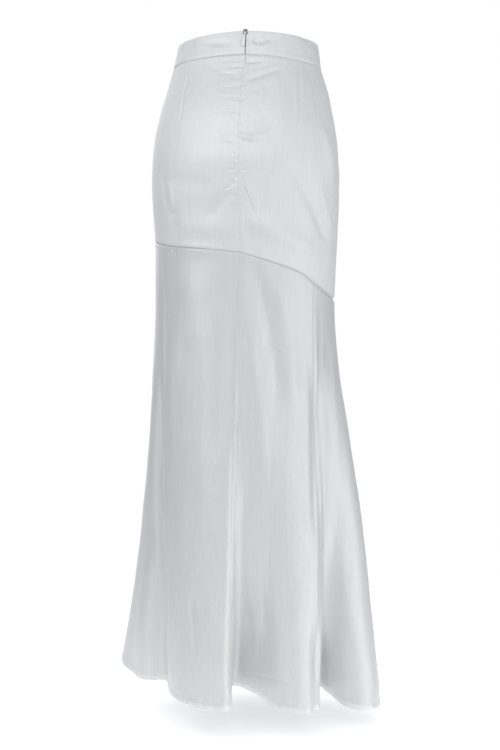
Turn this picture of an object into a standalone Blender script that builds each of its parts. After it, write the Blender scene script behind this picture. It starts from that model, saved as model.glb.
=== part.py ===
"""Mermaid fishtail skirt with a fitted hip yoke, a shaped waistband and a
concealed centre-back zip.  It keeps the hollow form of a worn skirt.

Frame: metres, +Z up.  The origin is the middle of the waistband, where the
wearer's waist holds it.  The back, with the zip, faces -Y; +X is the wearer's
right.

The cloth is one tube.  A point of it has two coordinates:
  t  fraction of the way round, 0 at the centre-back seam, growing towards +X
  z  height
OUTLINE gives the tube's sections, FOLDS gives the hem's folds, and the yoke
and band lines say where one piece ends and the next begins.  Every piece of
cloth is a wall of the same surface between two lines.
"""
import bpy
import bmesh
import numpy as np
from math import atan2, cos, hypot, pi, radians, sin
from mathutils import Matrix, Vector

for old in list(bpy.data.objects):
    bpy.data.objects.remove(old, do_unlink=True)

CM = 0.01
MM = 0.001

# ---------------------------------------------------------------- sizes
GAP = 0.32 * MM             # between two pieces at a seam
BAND_WALL = 2.5 * MM        # interfaced double satin
CLOTH_WALL = 1.4 * MM       # satin panels
ZIP_GAP = 1.6 * MM          # opening between the band's two back ends

FOLD_START = 0.15           # share of the flare over which its folds set in

COLUMNS = 96                # facets round the tube
BAND_ROWS = 2
YOKE_ROWS = 7
FLARE_ROWS = 12

# Sections of the tube, top to bottom, in cm.  left and right are the side
# outlines' distances from the axis, back and front the depths, seam the
# centre-back seam's offset to +X.
OUTLINE = [
    # level            z      left  right  back  front  seam
    ("band top",      2.0,    11.6, 11.7,   8.4,   8.2, -0.4),
    ("band middle",   0.0,    12.0, 12.0,   8.8,   8.6, -0.4),
    ("band seam",    -2.2,    12.5, 12.3,   9.2,   9.0, -0.45),
    ("high hip",     -5.5,    13.4, 13.3,  10.1,   9.7, -0.85),
    ("hip 9",        -8.8,    14.4, 14.0,  11.1,  10.3, -1.1),
    ("hip 12",      -12.0,    15.2, 14.6,  11.9,  10.7, -1.3),
    ("hip 16",      -16.0,    15.8, 15.1,  12.5,  10.9, -1.45),
    ("hip 20",      -20.3,    16.05, 15.25, 12.6, 10.9, -1.5),
    ("hip 25",      -25.4,    15.9, 15.2,  12.2,  10.8, -1.4),
    ("yoke seam",   -31.0,    15.5, 14.9,  11.7,  10.7, -1.2),
    ("thigh",       -37.0,    15.5, 14.6,  11.4,  10.5, -1.35),
    ("knee",        -43.0,    15.5, 14.5,  11.3,  10.4, -1.7),
    ("flare 50",    -50.0,    15.9, 15.0,  11.5,  10.6, -2.1),
    ("flare 60",    -60.0,    16.6, 16.1,  12.0,  11.2, -2.3),
    ("flare 70",    -70.0,    17.4, 17.5,  12.6,  11.9, -2.5),
    ("flare 80",    -80.0,    18.3, 18.8,  13.1,  12.6, -2.55),
    ("flare 90",    -90.0,    19.4, 19.8,  13.6,  13.2, -2.6),
    ("hem",        -104.0,    21.2, 20.9,  14.2,  13.9, -2.64),
]

# Where the cloth of the hem lies in plan, once round from the centre-back
# seam towards +X, in cm.  turn is the fold's place round the yoke in degrees,
# grow and deep say how late it moves sideways and in depth on its way down
# from the yoke (1 = evenly).
FOLDS = [
    # name                turn      x      y       z     grow  deep
    ("back seam",          0.0,  -2.66, -16.3, -104.2,  1.7,  2.0),
    ("flank one",          2.5,  -2.90, -13.4, -103.8,  2.0,  2.8),
    ("flank one deep",     4.5,  -3.00, -10.4, -103.2,  2.2,  3.3),
    ("trough one",         8.0,  -2.20,  -8.2, -102.9,  2.2,  3.4),
    ("slope one",         13.0,   0.10,  -9.4, -103.3,  2.0,  3.2),
    ("slope one high",    21.0,   2.45, -12.5, -103.9,  1.8,  2.6),
    ("lobe two start",    28.0,   4.35, -15.4, -104.5,  1.7,  2.1),
    ("lobe two",          35.0,   6.50, -16.8, -104.8,  1.6,  2.0),
    ("lobe two end",      44.0,   8.80, -16.8, -104.9,  1.6,  2.0),
    ("right seam",        52.5,  10.70, -15.6, -104.9,  1.7,  2.1),
    ("flank two",         55.5,  11.05, -12.6, -104.7,  1.4,  2.6),
    ("flank two deep",    58.5,  11.10,  -8.6, -104.4,  1.1,  3.0),
    ("trough two",        62.0,  11.80,  -4.9, -104.2,  1.05, 3.0),
    ("slope two",         67.5,  13.40,  -6.2, -104.9,  1.1,  2.8),
    ("slope two high",    74.0,  15.50,  -8.6, -106.0,  1.2,  2.4),
    ("lobe three",        82.0,  18.20,  -9.6, -106.5,  1.2,  2.1),
    ("right corner",      90.0,  20.70,  -7.9, -106.6,  1.2,  2.0),
    ("right side",        97.0,  21.50,  -4.4, -106.5,  1.2,  2.0),
    ("right front",      107.0,  21.20,   2.2, -106.2,  1.3,  2.0),
    ("front lobe one",   116.0,  18.70,   8.6, -105.9,  1.4,  2.0),
    ("front turn one",   125.0,  14.90,  10.9, -105.5,  1.5,  2.2),
    ("front trough one", 133.0,  11.40,  10.2, -105.1,  1.6,  2.6),
    ("front rise two",   140.0,   9.10,  12.9, -105.2,  1.5,  2.2),
    ("front lobe two",   149.0,   6.40,  16.3, -105.4,  1.4,  1.8),
    ("front top two",    160.0,   2.90,  17.2, -105.2,  1.4,  1.8),
    ("front turn two",   170.0,   0.20,  14.7, -104.8,  1.5,  2.1),
    ("front trough two", 178.0,  -1.70,  11.7, -104.4,  1.7,  2.6),
    ("front rise three", 187.0,  -4.40,  13.1, -104.3,  1.5,  2.2),
    ("front lobe three", 197.0,  -7.70,  15.9, -104.2,  1.4,  1.8),
    ("front top three",  208.0, -11.30,  15.7, -103.7,  1.4,  1.9),
    ("front turn three", 217.0, -13.60,  12.6, -103.2,  1.5,  2.2),
    ("front trough three", 225.0, -15.20, 10.4, -102.6, 1.6,  2.5),
    ("left front",       236.0, -18.20,  11.0, -102.2,  1.5,  2.0),
    ("left corner",      248.0, -20.90,   9.1, -101.9,  1.4,  1.8),
    ("left side",        260.0, -21.70,   5.6, -101.9,  1.4,  1.8),
    ("left side back",   272.0, -20.50,   1.4, -102.4,  1.4,  1.8),
    ("lobe four",        281.0, -18.60,  -1.4, -102.8,  1.5,  1.8),
    ("lobe four end",    291.0, -16.00,  -3.6, -103.1,  1.3,  1.6),
    ("trough four",      300.0, -13.40,  -4.9, -102.9,  1.1,  1.4),
    ("left seam",        307.0, -12.75,  -7.2, -103.1,  1.7,  1.6),
    ("lobe one start",   314.0, -12.00, -10.6, -103.7,  1.9,  1.8),
    ("lobe one rise",    326.0, -10.00, -13.6, -104.1,  1.6,  1.9),
    ("lobe one",         338.0,  -7.40, -15.6, -104.4,  1.5,  1.9),
    ("lobe one top",     350.0,  -4.90, -16.8, -104.5,  1.5,  1.9),
    ("lobe one end",     356.5,  -3.40, -17.0, -104.4,  1.6,  1.9),
]

# Lines round the tube, height in cm against the turn in degrees.
BAND_TOP = [
    # where           turn     z
    ("centre back",     0.0,  2.10),
    ("right side",     90.0,  1.80),
    ("centre front",  180.0,  1.50),
    ("left side",     270.0,  1.50),
    ("centre back",   360.0,  2.10),
]
BAND_SEAM = [
    ("centre back",     0.0, -1.85),
    ("right side",     90.0, -2.45),
    ("centre front",  180.0, -2.50),
    ("left side",     270.0, -2.25),
    ("centre back",   360.0, -1.85),
]
YOKE_SEAM = [
    # the slanting seam under the hips: level on the wearer's left, falling to the right
    ("centre back",     0.0, -33.75),
    ("right back",     27.0, -35.75),
    ("right back low", 43.0, -37.10),
    ("right quarter",  55.0, -38.50),
    ("right side",     83.0, -40.20),
    ("right front",   125.0, -40.30),
    ("centre front",  180.0, -37.60),
    ("left front",    235.0, -33.20),
    ("left side",     273.0, -31.00),
    ("left back",     300.0, -31.90),
    ("left back mid", 330.0, -32.90),
    ("centre back",   360.0, -33.75),
]

RIGHT_SEAM_TURN = 52.0      # flare seams, in degrees round the yoke
LEFT_SEAM_TURN = 308.0
SIDE_TURNS = (90.0, 270.0)  # side seams of the band and the yoke

# Concealed zip at the centre back
TAPE_WIDTH = 24.0 * MM
TAPE_WALL = 0.9 * MM
TAPE_GAP = 0.4 * MM
TAPE_TOP_Z = 1.45 * CM
TAPE_YOKE_ROWS = 5          # the tape ends on this row of the yoke, below the zip's end

SLIDER_Z = 1.89 * CM        # height of the slider's middle on the band
SLIDER_LENGTH = 8.0 * MM
SLIDER_WIDTH = 6.6 * MM
SLIDER_PLATE = 1.2 * MM     # outer plate
SLIDER_STEM = 0.9 * MM      # web that runs in the band's opening
SLIDER_BODY_WIDTH = 7.2 * MM
SLIDER_BODY = 1.8 * MM      # inner body, behind the band
BRIDGE_INNER_R = 0.85 * MM  # half ring that holds the pull
BRIDGE_OUTER_R = 1.60 * MM
BRIDGE_WIDTH = 1.2 * MM
BRIDGE_STAND = 0.9 * MM     # its axis off the plate

PULL_LENGTH = 26.0 * MM     # axis to tip
PULL_WALL = 0.96 * MM
PULL_EYE_END = 2.3 * MM     # axis to the eye's lower edge
PULL_EYE_WIDTH = 2.1 * MM
PULL_LEAN = 10.0            # degrees towards -X
PULL_BACK = 3.4             # degrees back, so that the tip rests on the band
PULL_HALF_WIDTH = [
    # place           s mm  half mm
    ("bar",           -0.48, 1.45),
    ("eye",            0.3,  1.80),
    ("eye end",        2.6,  1.70),
    ("neck",           5.0,  1.10),
    ("stalk",          9.0,  1.35),
    ("drop",          15.0,  2.20),
    ("widest",        20.5,  2.80),
    ("drop end",      24.2,  2.20),
    ("tip",           25.7,  0.90),
]


# ------------------------------------------------- smooth curves through a table
def open_spline(xs, ys):
    """Natural cubic through the points; returns a function of an array."""
    xs, ys = np.asarray(xs, float), np.asarray(ys, float)
    n = len(xs)
    h = np.diff(xs)
    mat, rhs = np.eye(n), np.zeros(n)
    for i in range(1, n - 1):
        mat[i, i - 1:i + 2] = h[i - 1], 2 * (h[i - 1] + h[i]), h[i]
        rhs[i] = 6 * ((ys[i + 1] - ys[i]) / h[i] - (ys[i] - ys[i - 1]) / h[i - 1])
    bend = np.linalg.solve(mat, rhs)

    def value(x):
        x = np.clip(np.asarray(x, float), xs[0], xs[-1])
        i = np.clip(np.searchsorted(xs, x) - 1, 0, n - 2)
        d, a, b = h[i], xs[i + 1] - x, x - xs[i]
        return (bend[i] * a ** 3 / (6 * d) + bend[i + 1] * b ** 3 / (6 * d)
                + (ys[i] / d - bend[i] * d / 6) * a + (ys[i + 1] / d - bend[i + 1] * d / 6) * b)
    return value


def loop_spline(ts, ys):
    """Periodic cubic with period 1 through the points."""
    ts, ys = np.asarray(ts, float), np.asarray(ys, float)
    n = len(ts)
    h = np.diff(np.append(ts, ts[0] + 1.0))
    mat, rhs = np.zeros((n, n)), np.zeros(n)
    for i in range(n):
        p, q = (i - 1) % n, (i + 1) % n
        mat[i, p] += h[p]
        mat[i, i] += 2 * (h[p] + h[i])
        mat[i, q] += h[i]
        rhs[i] = 6 * ((ys[q] - ys[i]) / h[i] - (ys[i] - ys[p]) / h[p])
    bend = np.linalg.solve(mat, rhs)

    def value(t):
        t = np.mod(np.asarray(t, float), 1.0)
        i = np.clip(np.searchsorted(ts, t, side="right") - 1, 0, n - 1)
        q = (i + 1) % n
        d, b = h[i], t - ts[i]
        a = d - b
        return (bend[i] * a ** 3 / (6 * d) + bend[q] * b ** 3 / (6 * d)
                + (ys[i] / d - bend[i] * d / 6) * a + (ys[q] / d - bend[q] * d / 6) * b)
    return value


# ------------------------------------------------------------- the surface
out_z = [-row[1] * CM for row in OUTLINE]
outline = {key: open_spline(out_z, [row[k] * CM for row in OUTLINE])
           for k, key in ((2, "left"), (3, "right"), (4, "back"), (5, "front"), (6, "seam"))}

hem_steps = [hypot(FOLDS[(i + 1) % len(FOLDS)][2] - row[2], FOLDS[(i + 1) % len(FOLDS)][3] - row[3])
             for i, row in enumerate(FOLDS)]
fold_t = np.concatenate(([0.0], np.cumsum(hem_steps)[:-1])) / sum(hem_steps)
turn_extra = loop_spline(fold_t, [row[1] - 360 * t for row, t in zip(FOLDS, fold_t)])
hem_x = loop_spline(fold_t, [row[2] * CM for row in FOLDS])
hem_y = loop_spline(fold_t, [row[3] * CM for row in FOLDS])
hem_z = loop_spline(fold_t, [row[4] * CM for row in FOLDS])
grow = loop_spline(fold_t, [row[5] for row in FOLDS])
deep = loop_spline(fold_t, [row[6] for row in FOLDS])

band_top_at, band_seam_at, yoke_seam_at = (
    open_spline([row[1] for row in table], [row[2] * CM for row in table])
    for table in (BAND_TOP, BAND_SEAM, YOKE_SEAM))


def turn(t):
    """Degrees round the yoke at t."""
    t = np.asarray(t, float)
    return 360 * t + turn_extra(t)


def t_of_turn(degrees_round):
    """The t whose turn this is, by halving."""
    low, high = 0.0, 1.0
    for _ in range(50):
        mid = (low + high) / 2
        if turn(mid) < degrees_round:
            low = mid
        else:
            high = mid
    return (low + high) / 2


def band_top(t):
    return band_top_at(np.mod(turn(t), 360))


def band_seam(t):
    return band_seam_at(np.mod(turn(t), 360))


def yoke_seam(t):
    return yoke_seam_at(np.mod(turn(t), 360))


def section(turn_deg, z):
    """Point of the smooth tube: half ellipses for the back and the front."""
    left, right, back, front, seam = (outline[k](-z) for k in ("left", "right", "back", "front", "seam"))
    half, mid = (left + right) / 2, (right - left) / 2
    swing = np.radians(turn_deg) + np.arcsin((seam - mid) / half)
    depth = np.where(np.cos(swing) > 0, back, front)
    return mid + half * np.sin(swing), -depth * np.cos(swing)


def surface(t, z):
    """Outer face of the cloth at t and z, as an array (..., 3)."""
    t, z = np.broadcast_arrays(np.asarray(t, float), np.asarray(z, float))
    deg = turn(t)
    x, y = section(deg, z)
    top, bottom = yoke_seam(t), hem_z(t)
    down = np.clip((top - z) / (top - bottom), 0, 1.05)
    share = (np.hypot(down, FOLD_START) - FOLD_START) / (hypot(1, FOLD_START) - FOLD_START)
    sx, sy = section(deg, bottom)
    return np.stack((x + share ** grow(t) * (hem_x(t) - sx),
                     y + share ** deep(t) * (hem_y(t) - sy), z), axis=-1)


def normal(t, z):
    """Outward unit normal of the surface."""
    e, d = 2e-4, 4e-4
    round_way = surface(t + e, z) - surface(t - e, z)
    up_way = surface(t, z + d) - surface(t, z - d)
    n = np.cross(round_way, up_way)
    return n / np.linalg.norm(n, axis=-1, keepdims=True)


def stride(t, z):
    """Metres along the surface for one unit of t."""
    e = 1e-4
    return float(np.linalg.norm(surface(t + e, z) - surface(t - e, z)) / (2 * e))


# -------------------------------------------------------------- materials
def material(name, colour, roughness, metallic=0.0):
    mat = bpy.data.materials.new(name)
    mat.use_nodes = True
    bsdf = mat.node_tree.nodes["Principled BSDF"]
    bsdf.inputs["Base Color"].default_value = (*colour, 1.0)
    bsdf.inputs["Roughness"].default_value = roughness
    bsdf.inputs["Metallic"].default_value = metallic
    return mat


def finish(name, mesh, mat, sharp=40):
    mesh.materials.append(mat)
    mesh.shade_smooth()
    mesh.set_sharp_from_angle(angle=radians(sharp))
    obj = bpy.data.objects.new(name, mesh)
    bpy.context.scene.collection.objects.link(obj)
    return obj


# ------------------------------------------------------------ cloth panels
def seam_columns():
    """The t of every column: even between the seams, on each seam exactly."""
    stops = [0.0, t_of_turn(RIGHT_SEAM_TURN), t_of_turn(SIDE_TURNS[0]),
             t_of_turn(SIDE_TURNS[1]), t_of_turn(LEFT_SEAM_TURN), 1.0]
    ts = []
    for a, b in zip(stops, stops[1:]):
        n = max(2, round((b - a) * COLUMNS))
        ts += [a + (b - a) * i / n for i in range(n)]
    return ts + [1.0], stops


COLUMN_T, STOPS = seam_columns()


def wall(name, ts, levels, depth_of, mat, end_gaps):
    """A closed wall of cloth over the columns ts.

    levels(t) gives the heights of the rows at a column, top first.
    depth_of(row) gives (outer, inner) depths under the surface.
    end_gaps moves the first and the last column in from their seams."""
    bm = bmesh.new()
    outer, inner = [], []
    for c, t in enumerate(ts):
        col_out, col_in = [], []
        for r, z in enumerate(levels(t)):
            tt = t
            if c == 0:
                tt = t + end_gaps[0] / stride(t, z)
            elif c == len(ts) - 1:
                tt = t - end_gaps[1] / stride(t, z)
            p, n = surface(tt, z), normal(tt, z)
            near, far = depth_of(r)
            col_out.append(bm.verts.new(p - n * near))
            col_in.append(bm.verts.new(p - n * far))
        outer.append(col_out)
        inner.append(col_in)
    rows = len(outer[0])
    for c in range(len(ts) - 1):
        for r in range(rows - 1):
            bm.faces.new((outer[c][r], outer[c][r + 1], outer[c + 1][r + 1], outer[c + 1][r]))
            bm.faces.new((inner[c][r], inner[c + 1][r], inner[c + 1][r + 1], inner[c][r + 1]))
        bm.faces.new((outer[c][0], outer[c + 1][0], inner[c + 1][0], inner[c][0]))
        bm.faces.new((outer[c][-1], inner[c][-1], inner[c + 1][-1], outer[c + 1][-1]))
    for r in range(rows - 1):
        bm.faces.new((outer[0][r], inner[0][r], inner[0][r + 1], outer[0][r + 1]))
        bm.faces.new((outer[-1][r], outer[-1][r + 1], inner[-1][r + 1], inner[-1][r]))
    bmesh.ops.recalc_face_normals(bm, faces=bm.faces)
    mesh = bpy.data.meshes.new(name)
    bm.to_mesh(mesh)
    bm.free()
    return finish(name, mesh, mat)


def between(top, bottom, rows, top_gap=0.0, bottom_gap=0.0):
    """Rows of heights from one line to another."""
    def levels(t):
        a, b = float(top(t)) - top_gap, float(bottom(t)) + bottom_gap
        return [a + (b - a) * r / rows for r in range(rows + 1)]
    return levels


def span(t0, t1):
    """Columns from t0 to t1."""
    return [t for t in COLUMN_T if t0 - 1e-9 <= t <= t1 + 1e-9]


_, T_RIGHT, T_SIDE_R, T_SIDE_L, T_LEFT, _ = STOPS
HALF = GAP / 2

satin = {key: material(key, colour, 0.38) for key, colour in (
    ("band_satin", (0.78, 0.78, 0.80)), ("yoke_satin", (0.80, 0.80, 0.81)), ("flare_satin", (0.76, 0.77, 0.79)))}

band_levels = between(band_top, band_seam, BAND_ROWS, 0.0, HALF)
yoke_levels = between(band_seam, yoke_seam, YOKE_ROWS, HALF, HALF)
flare_levels = between(yoke_seam, hem_z, FLARE_ROWS, HALF, 0.0)

for name, t0, t1, gaps in (("waistband_back_right", 0.0, T_SIDE_R, (ZIP_GAP / 2, HALF)),
                           ("waistband_front", T_SIDE_R, T_SIDE_L, (HALF, HALF)),
                           ("waistband_back_left", T_SIDE_L, 1.0, (HALF, ZIP_GAP / 2))):
    wall(name, span(t0, t1), band_levels, lambda r: (0.0, BAND_WALL), satin["band_satin"], gaps)

for name, t0, t1 in (("yoke_back_right", 0.0, T_SIDE_R), ("yoke_front", T_SIDE_R, T_SIDE_L),
                     ("yoke_back_left", T_SIDE_L, 1.0)):
    wall(name, span(t0, t1), yoke_levels, lambda r: (0.0, CLOTH_WALL), satin["yoke_satin"], (HALF, HALF))

for name, t0, t1 in (("lower_back_right", 0.0, T_RIGHT), ("lower_front", T_RIGHT, T_LEFT),
                     ("lower_back_left", T_LEFT, 1.0)):
    wall(name, span(t0, t1), flare_levels, lambda r: (0.0, CLOTH_WALL), satin["flare_satin"], (HALF, HALF))


# ------------------------------------------------------------------- zip
metal = material("zip_metal", (0.30, 0.30, 0.32), 0.35, 1.0)
pull_metal = material("pull_metal", (0.72, 0.72, 0.74), 0.3, 1.0)
tape_cloth = material("tape_cloth", (0.74, 0.74, 0.76), 0.7)


def tape():
    """Strip of tape under the centre-back seam, on the rows of the cloth above it."""
    rows = [(TAPE_TOP_Z, BAND_WALL + TAPE_GAP), (band_levels(0.0)[1], BAND_WALL + TAPE_GAP),
            (float(band_seam(0.0)), BAND_WALL + TAPE_GAP), (float(band_seam(0.0)) - 4 * MM, BAND_WALL)]
    rows += [(z, CLOTH_WALL + TAPE_GAP) for z in yoke_levels(0.0)[1:TAPE_YOKE_ROWS + 1]]
    across = [TAPE_WIDTH * k / 4 for k in (-2, -1, 0, 1, 2)]
    bm = bmesh.new()
    skins = []
    for extra in (0.0, TAPE_WALL):
        skin = []
        for z, depth in rows:
            line = []
            for x in across:
                t = x / stride(0.0, z)
                line.append(bm.verts.new(surface(t, z) - normal(t, z) * (depth + extra)))
            skin.append(line)
        skins.append(skin)
    out, back = skins
    for r in range(len(rows) - 1):
        for c in range(len(across) - 1):
            bm.faces.new((out[r][c], out[r + 1][c], out[r + 1][c + 1], out[r][c + 1]))
            bm.faces.new((back[r][c], back[r][c + 1], back[r + 1][c + 1], back[r + 1][c]))
        bm.faces.new((out[r][0], back[r][0], back[r + 1][0], out[r + 1][0]))
        bm.faces.new((out[r][-1], out[r + 1][-1], back[r + 1][-1], back[r][-1]))
    for c in range(len(across) - 1):
        bm.faces.new((out[0][c], out[0][c + 1], back[0][c + 1], back[0][c]))
        bm.faces.new((out[-1][c], back[-1][c], back[-1][c + 1], out[-1][c + 1]))
    bmesh.ops.recalc_face_normals(bm, faces=bm.faces)
    mesh = bpy.data.meshes.new("zip_tape")
    bm.to_mesh(mesh)
    bm.free()
    return finish("zip_tape", mesh, tape_cloth)


def band_frame():
    """Frame on the band at the slider: x along the band, y into it, z up it."""
    p, n = surface(0.0, SLIDER_Z), normal(0.0, SLIDER_Z)
    inward = -Vector(n)
    along = Vector(surface(1e-4, SLIDER_Z) - surface(-1e-4, SLIDER_Z))
    along = (along - along.dot(inward) * inward).normalized()
    up = along.cross(inward)
    frame = Matrix((along, inward, up)).transposed().to_4x4()
    frame.translation = Vector(p)
    return frame


def prism(name, outline_2d, place, low, high):
    """Solid whose outline is swept from low to high; place(u, v, w) gives x, y, z."""
    bm = bmesh.new()
    ends = [[bm.verts.new(place(u, v, w)) for u, v in outline_2d] for w in (low, high)]
    n = len(outline_2d)
    for i in range(n):
        j = (i + 1) % n
        bm.faces.new((ends[0][i], ends[0][j], ends[1][j], ends[1][i]))
    bm.faces.new(ends[0][::-1])
    bm.faces.new(ends[1])
    bmesh.ops.recalc_face_normals(bm, faces=bm.faces)
    mesh = bpy.data.meshes.new(name)
    bm.to_mesh(mesh)
    bm.free()
    return mesh


FRAME = band_frame()
plate_out = GAP + SLIDER_PLATE


def slider():
    """Outer plate, web through the opening and inner body, with the bridge on top."""
    w, s, b = SLIDER_WIDTH / 2, SLIDER_STEM / 2, SLIDER_BODY_WIDTH / 2
    behind = BAND_WALL + GAP
    half = [(w, -plate_out), (w, -GAP), (s, -GAP), (s, behind), (b, behind), (b, behind + SLIDER_BODY)]
    ring = half + [(-x, y) for x, y in reversed(half)]
    mesh = prism("zip_slider", ring, lambda u, v, z: (u, v, z), -SLIDER_LENGTH / 2, SLIDER_LENGTH / 2)
    obj = finish("zip_slider", mesh, metal)
    obj.matrix_world = FRAME
    edge = obj.modifiers.new("edges", "BEVEL")
    edge.width, edge.segments, edge.limit_method = 0.25 * MM, 2, "ANGLE"

    foot = -GAP - SLIDER_PLATE / 2              # the legs start inside the plate
    centre = -plate_out - BRIDGE_STAND
    steps = 10
    arc = [(-pi / 2 + pi * k / steps) for k in range(steps + 1)]
    outer = [(centre - BRIDGE_OUTER_R * cos(a), BRIDGE_OUTER_R * sin(a)) for a in arc]
    inner = [(centre - BRIDGE_INNER_R * cos(a), BRIDGE_INNER_R * sin(a)) for a in arc]
    loop = ([(foot, -BRIDGE_OUTER_R)] + outer + [(foot, BRIDGE_OUTER_R), (foot, BRIDGE_INNER_R)]
            + inner[::-1] + [(foot, -BRIDGE_INNER_R)])
    arch_mesh = prism("bridge", loop, lambda u, v, x: (x, u, v), -BRIDGE_WIDTH / 2, BRIDGE_WIDTH / 2)
    arch = finish("bridge_tool", arch_mesh, metal)
    arch.matrix_world = FRAME
    arch.hide_render, arch.display_type = True, "WIRE"
    join = obj.modifiers.new("bridge", "BOOLEAN")
    join.operation, join.solver, join.object = "UNION", "EXACT", arch
    return obj


def pull():
    """Teardrop tab with an eye round the bridge; its origin is on the hinge axis."""
    width = open_spline([row[1] * MM for row in PULL_HALF_WIDTH], [row[2] * MM for row in PULL_HALF_WIDTH])
    start, stop, steps = PULL_HALF_WIDTH[0][1] * MM, PULL_HALF_WIDTH[-1][1] * MM, 22
    side = [(float(width(start + (stop - start) * k / steps)), -(start + (stop - start) * k / steps))
            for k in range(steps + 1)]
    ring = side + [(0.0, -PULL_LENGTH)] + [(-x, z) for x, z in reversed(side)]
    mesh = prism("zip_pull", ring, lambda u, v, y: (u, y, v), -PULL_WALL / 2, PULL_WALL / 2)
    obj = finish("zip_pull", mesh, pull_metal, sharp=50)
    obj.matrix_world = (FRAME @ Matrix.Translation((0, -plate_out - BRIDGE_STAND, 0))
                        @ Matrix.Rotation(radians(PULL_LEAN), 4, "Y") @ Matrix.Rotation(radians(PULL_BACK), 4, "X"))
    top, low, r = 0.48 * MM, PULL_EYE_END, PULL_EYE_WIDTH / 2
    corner = 0.35 * MM
    eye = [(r - corner, -top), (r, -top - corner), (r, -low + r * 0.6), (r * 0.6, -low), (-r * 0.6, -low),
           (-r, -low + r * 0.6), (-r, -top - corner), (-r + corner, -top)]
    eye_mesh = prism("eye", eye, lambda u, v, y: (u, y, v), -PULL_WALL, PULL_WALL)
    cutter = finish("eye_tool", eye_mesh, pull_metal)
    cutter.matrix_world = obj.matrix_world
    cutter.hide_render, cutter.display_type = True, "WIRE"
    cut = obj.modifiers.new("eye", "BOOLEAN")
    cut.operation, cut.solver, cut.object = "DIFFERENCE", "EXACT", cutter
    return obj


tape()
slider()
pull()
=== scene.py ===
"""Looks of the mermaid fishtail skirt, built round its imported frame.

The cloth's form is the one of the CAD solids: the same tables and the same
surface(t, z).  Each panel is a thin shell on that surface, with its seams,
darts, creases and puckers as soft troughs and ridges of its own.
"""
from math import cos, hypot, pi, radians, sin

import bmesh
import bpy
import numpy as np
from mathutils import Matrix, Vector


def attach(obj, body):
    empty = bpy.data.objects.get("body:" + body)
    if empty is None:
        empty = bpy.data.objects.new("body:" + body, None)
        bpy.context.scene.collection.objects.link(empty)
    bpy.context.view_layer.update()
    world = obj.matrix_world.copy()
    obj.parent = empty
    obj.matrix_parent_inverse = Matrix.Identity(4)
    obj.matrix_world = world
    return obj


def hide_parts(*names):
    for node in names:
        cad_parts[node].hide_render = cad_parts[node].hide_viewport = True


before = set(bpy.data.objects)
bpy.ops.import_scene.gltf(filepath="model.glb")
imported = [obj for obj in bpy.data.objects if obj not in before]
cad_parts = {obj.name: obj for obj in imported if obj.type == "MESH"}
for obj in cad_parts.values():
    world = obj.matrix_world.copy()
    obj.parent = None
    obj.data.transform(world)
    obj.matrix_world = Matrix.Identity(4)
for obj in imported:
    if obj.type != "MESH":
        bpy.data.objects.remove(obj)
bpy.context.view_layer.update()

CM, MM = 0.01, 0.001

# ============================================================ the cloth's form
FOLD_START = 0.15
OUTLINE = [
    # level            z      left  right  back  front  seam   (cm)
    ("band top",      2.0,    11.6, 11.7,   8.4,   8.2, -0.4),
    ("band middle",   0.0,    12.0, 12.0,   8.8,   8.6, -0.4),
    ("band seam",    -2.2,    12.5, 12.3,   9.2,   9.0, -0.45),
    ("high hip",     -5.5,    13.4, 13.3,  10.1,   9.7, -0.85),
    ("hip 9",        -8.8,    14.4, 14.0,  11.1,  10.3, -1.1),
    ("hip 12",      -12.0,    15.2, 14.6,  11.9,  10.7, -1.3),
    ("hip 16",      -16.0,    15.8, 15.1,  12.5,  10.9, -1.45),
    ("hip 20",      -20.3,    16.05, 15.25, 12.6, 10.9, -1.5),
    ("hip 25",      -25.4,    15.9, 15.2,  12.2,  10.8, -1.4),
    ("yoke seam",   -31.0,    15.5, 14.9,  11.7,  10.7, -1.2),
    ("thigh",       -37.0,    15.5, 14.6,  11.4,  10.5, -1.35),
    ("knee",        -43.0,    15.5, 14.5,  11.3,  10.4, -1.7),
    ("flare 50",    -50.0,    15.9, 15.0,  11.5,  10.6, -2.1),
    ("flare 60",    -60.0,    16.6, 16.1,  12.0,  11.2, -2.3),
    ("flare 70",    -70.0,    17.4, 17.5,  12.6,  11.9, -2.5),
    ("flare 80",    -80.0,    18.3, 18.8,  13.1,  12.6, -2.55),
    ("flare 90",    -90.0,    19.4, 19.8,  13.6,  13.2, -2.6),
    ("hem",        -104.0,    21.2, 20.9,  14.2,  13.9, -2.64),
]
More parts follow.
